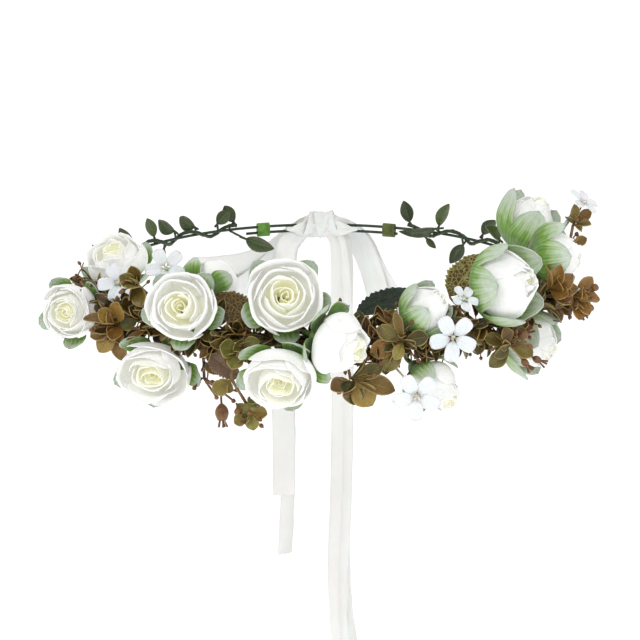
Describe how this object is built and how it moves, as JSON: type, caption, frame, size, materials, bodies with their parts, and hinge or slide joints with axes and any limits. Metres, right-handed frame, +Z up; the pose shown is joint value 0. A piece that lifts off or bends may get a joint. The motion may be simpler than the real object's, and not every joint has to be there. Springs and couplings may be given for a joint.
{
  "type": "flower crown",
  "caption": "Flower crown: wire ring bound in floral tape with fabric roses, star flowers and leaf sprigs, closed at the back by a two-ribbon bow with hanging tails.",
  "frame": {"origin": "centre of the wire ring, in the plane of its centre line", "axes": "+Z up as worn, -Y the front with the densest flowers, +Y the back with the ribbon bow, +X to the right of someone looking at the front"},
  "size_m": [0.2215, 0.2363, 0.256],
  "materials": {
    "wire": "plastic-coated florist wire, dark green",
    "brown_tape": "crepe floral tape, brown-green",
    "bright_tape": "crepe floral tape, bright green",
    "olive_tape": "crepe floral tape, olive",
    "vine": "moulded vine, dark green",
    "petal": "stiffened woven petals, white with cream hearts",
    "sepal": "dyed fabric sepals, green fading to mint",
    "star_petal": "cool white stiffened fabric",
    "sprig": "moulded leaves, olive to orange-brown",
    "leaf_green": "printed fabric leaf, dark green",
    "leaf_brown": "moulded net-veined leaf, olive brown",
    "ribbon": "narrow satin-faced ribbon, ivory white"
  },
  "bodies": {
    "crown": {"base_wire": "wire", "front_wrap": "brown_tape", "leaf_1": "leaf_green", "leaf_2": "leaf_brown", "leaf_3": "leaf_brown", "leaf_4": "leaf_brown", "left_end_tape": "bright_tape", "left_vine": "vine", "ribbon_knot": "ribbon", "right_end_tape": "olive_tape", "right_vine": "vine", "rose_01_bloom": "petal", "rose_01_calyx": "sepal", "rose_02_bloom": "petal", "rose_02_calyx": "sepal", "rose_03_bloom": "petal", "rose_03_calyx": "sepal", "rose_04_bloom": "petal", "rose_04_calyx": "sepal", "rose_05_bloom": "petal", "rose_05_calyx": "sepal", "rose_06_bloom": "petal", "rose_06_calyx": "sepal", "rose_07_bloom": "petal", "rose_07_calyx": "sepal", "rose_08_bloom": "petal", "rose_08_calyx": "sepal", "rose_09_bloom": "petal", "rose_09_calyx": "sepal", "rose_10_bloom": "petal", "rose_10_calyx": "sepal", "rose_11_bloom": "petal", "rose_11_calyx": "sepal", "rose_12_bloom": "petal", "rose_12_calyx": "sepal", "rose_13_bloom": "petal", "rose_13_calyx": "sepal", "rose_14_bloom": "petal", "rose_14_calyx": "sepal", "sprig_1": "sprig", "sprig_2": "sprig", "sprig_3": "sprig", "sprig_4": "sprig", "sprig_5": "sprig", "sprig_6": "sprig", "sprig_7": "sprig", "sprig_8": "sprig", "sprig_9": "sprig", "star_flower_1": "star_petal", "star_flower_2": "star_petal", "star_flower_3": "star_petal", "star_flower_4": "star_petal", "star_flower_5": "star_petal", "star_flower_6": "star_petal"},
    "left_tails": {"tail_left_outer": "ribbon", "tail_left_inner": "ribbon"},
    "right_tails": {"tail_right_outer": "ribbon", "tail_right_inner": "ribbon"},
    "left_bow": {"bow_left_loop": "ribbon"},
    "right_bow": {"bow_right_loop": "ribbon"}
  },
  "joints": [
    {"name": "left_tails_swing", "type": "hinge", "parent": "crown", "child": "left_tails", "pos_m": [-0.0165, 0.0875, -0.0065], "axis": [1, 0, 0], "range_deg": [-55, 15]},
    {"name": "right_tails_swing", "type": "hinge", "parent": "crown", "child": "right_tails", "pos_m": [0.0095, 0.0875, -0.0065], "axis": [1, 0, 0], "range_deg": [-55, 15]},
    {"name": "left_bow_lift", "type": "hinge", "parent": "crown", "child": "left_bow", "pos_m": [-0.0099, 0.0962, -0.0015], "axis": [1, 0, 0], "range_deg": [0, 35]},
    {"name": "right_bow_lift", "type": "hinge", "parent": "crown", "child": "right_bow", "pos_m": [0.0099, 0.0962, -0.0015], "axis": [1, 0, 0], "range_deg": [0, 35]}
  ]
}
